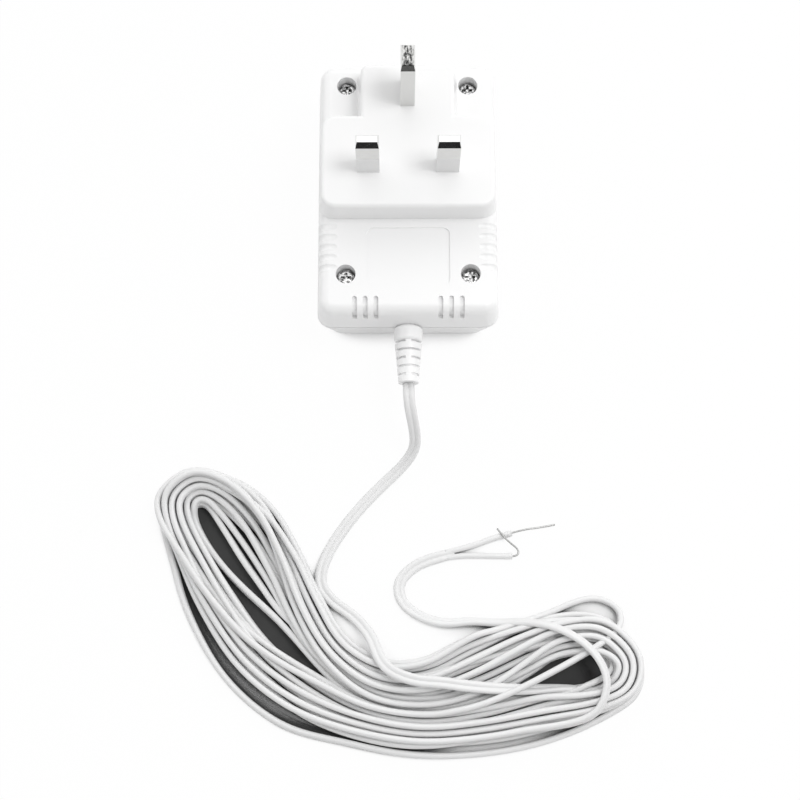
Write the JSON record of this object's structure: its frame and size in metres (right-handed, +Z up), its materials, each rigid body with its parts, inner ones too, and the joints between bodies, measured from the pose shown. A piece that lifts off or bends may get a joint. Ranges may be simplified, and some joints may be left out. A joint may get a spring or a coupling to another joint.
{
  "type": "doorbell transformer",
  "caption": "White plug-in doorbell transformer with British three-pin plug, screwed two-part case, ribbed strain relief and a loose hank of white twin bell wire.",
  "frame": {"origin": "on the resting face, under the middle of the case", "axes": "+Z up out of the resting face along the plug pins, +Y from the cord end to the earth pin, +X to the neutral pin's side"},
  "size_m": [0.1361, 0.1971, 0.0602],
  "materials": {
    "case_plastic": "fine satin moulding",
    "pin_metal": "dull nickel plate",
    "sleeve_plastic": "satin",
    "screw_steel": "dull zinc",
    "core_steel": "varnished sheet edges",
    "former_plastic": "satin",
    "winding_copper": "enamelled copper",
    "coil_tape": "polyester film",
    "fuse_can": "satin",
    "tinned_metal": "tinned",
    "mains_insulation": "satin",
    "cord_insulation": "soft vinyl",
    "relief_rubber": "satin"
  },
  "bodies": {
    "root": {"pin_side_case": "case_plastic", "back_cover": "case_plastic", "live_pin": "pin_metal", "neutral_pin": "pin_metal", "earth_pin": "pin_metal", "live_pin_sleeve": "sleeve_plastic", "neutral_pin_sleeve": "sleeve_plastic", "case_screws": "screw_steel", "e_laminations": "core_steel", "i_laminations": "core_steel", "coil_former": "former_plastic", "primary_winding": "winding_copper", "secondary_winding": "winding_copper", "primary_tape": "coil_tape", "secondary_tape": "coil_tape", "thermal_fuse": "fuse_can", "coil_terminals": "tinned_metal", "tail_wire_upper": "tinned_metal", "tail_wire_lower": "tinned_metal", "live_lead": "mains_insulation", "neutral_lead": "mains_insulation", "secondary_lead_left": "cord_insulation", "secondary_lead_right": "cord_insulation", "cord_inner_end": "cord_insulation", "cord_lead": "cord_insulation", "cord_hank": "cord_insulation", "cord_tail": "cord_insulation", "tail_core_upper": "cord_insulation", "tail_core_lower": "cord_insulation", "strain_relief": "relief_rubber"}
  },
  "joints": []
}
